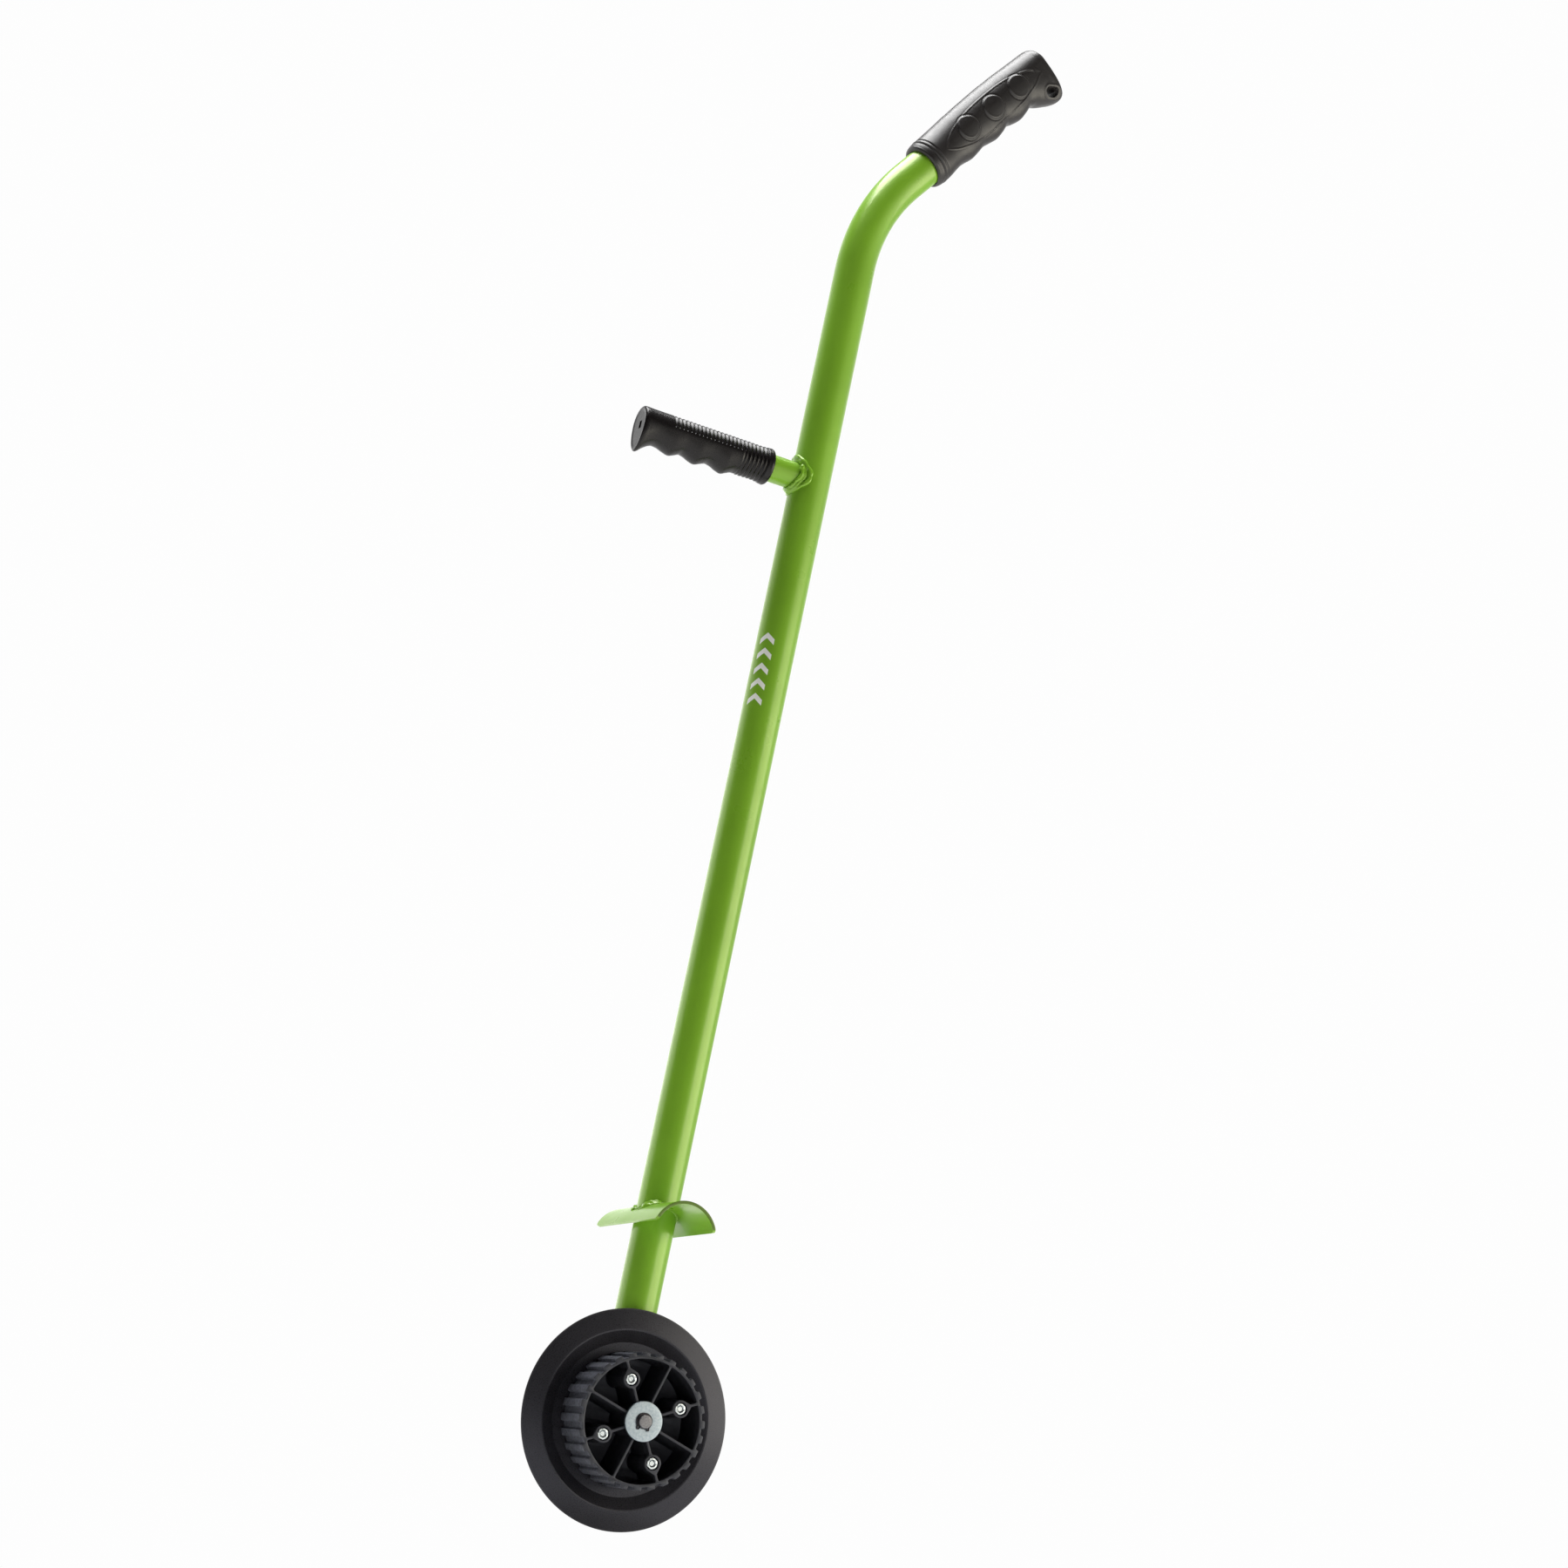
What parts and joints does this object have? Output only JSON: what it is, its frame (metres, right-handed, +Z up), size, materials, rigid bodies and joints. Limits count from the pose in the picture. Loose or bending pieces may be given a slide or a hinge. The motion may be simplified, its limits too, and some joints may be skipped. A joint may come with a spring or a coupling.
{
  "type": "rotary lawn edger",
  "caption": "Long-handled lawn edger: a dished cutting disc bolted to a toothed roller that spins on a pin at the foot of a bent tube, with a side handle, foot plate and two grips.",
  "frame": {"origin": "on the ground, at the bottom centre of the overall box: below the axle, 3.7 mm in front of and 1.2 mm beside the tube's centre line", "axes": "+Z up along the straight length of the tube; +Y along the axle, from the roller's side to the disc's back; +X the way the top of the tube bends, so the side handle points to -X"},
  "size_m": [0.3006, 0.1198, 1.2543],
  "materials": {
    "green_paint": "gloss powder coat, lime green",
    "green_paint_side": "gloss powder coat, lime green",
    "green_paint_plate": "gloss powder coat, lime green",
    "weld_paint": "lumpy weld bead under the same powder coat",
    "black_plug": "moulded",
    "axle_steel": "turned bright steel",
    "zinc": "zinc plated",
    "zinc_screws": "zinc plated",
    "bush_steel": "drawn",
    "blackened_spring": "phosphated spring steel",
    "blackened_disc": "satin black coat on hardened steel",
    "black_nylon": "moulded nylon",
    "grip_rubber": "satin moulded elastomer",
    "side_grip_rubber": "satin moulded elastomer"
  },
  "bodies": {
    "frame": {"shaft_tube": "green_paint", "tube_end_plug": "black_plug", "side_handle_tube": "green_paint_side", "side_handle_weld": "weld_paint", "side_grip": "side_grip_rubber", "main_grip": "grip_rubber", "foot_plate": "green_paint_plate", "foot_plate_weld": "weld_paint", "axle_pin": "axle_steel", "axle_weld": "weld_paint", "inner_washer": "zinc", "front_washer": "zinc", "retaining_clip": "blackened_spring"},
    "wheel": {"cutting_disc": "blackened_disc", "drive_roller": "black_nylon", "hub_bush": "bush_steel", "blade_screws": "zinc_screws", "blade_nuts": "zinc_screws"}
  },
  "joints": [
    {"name": "wheel_spin", "type": "hinge", "parent": "frame", "child": "wheel", "pos_m": [0.00122, -0.03426, 0.0825], "axis": [0, 1, 0], "continuous": true}
  ]
}
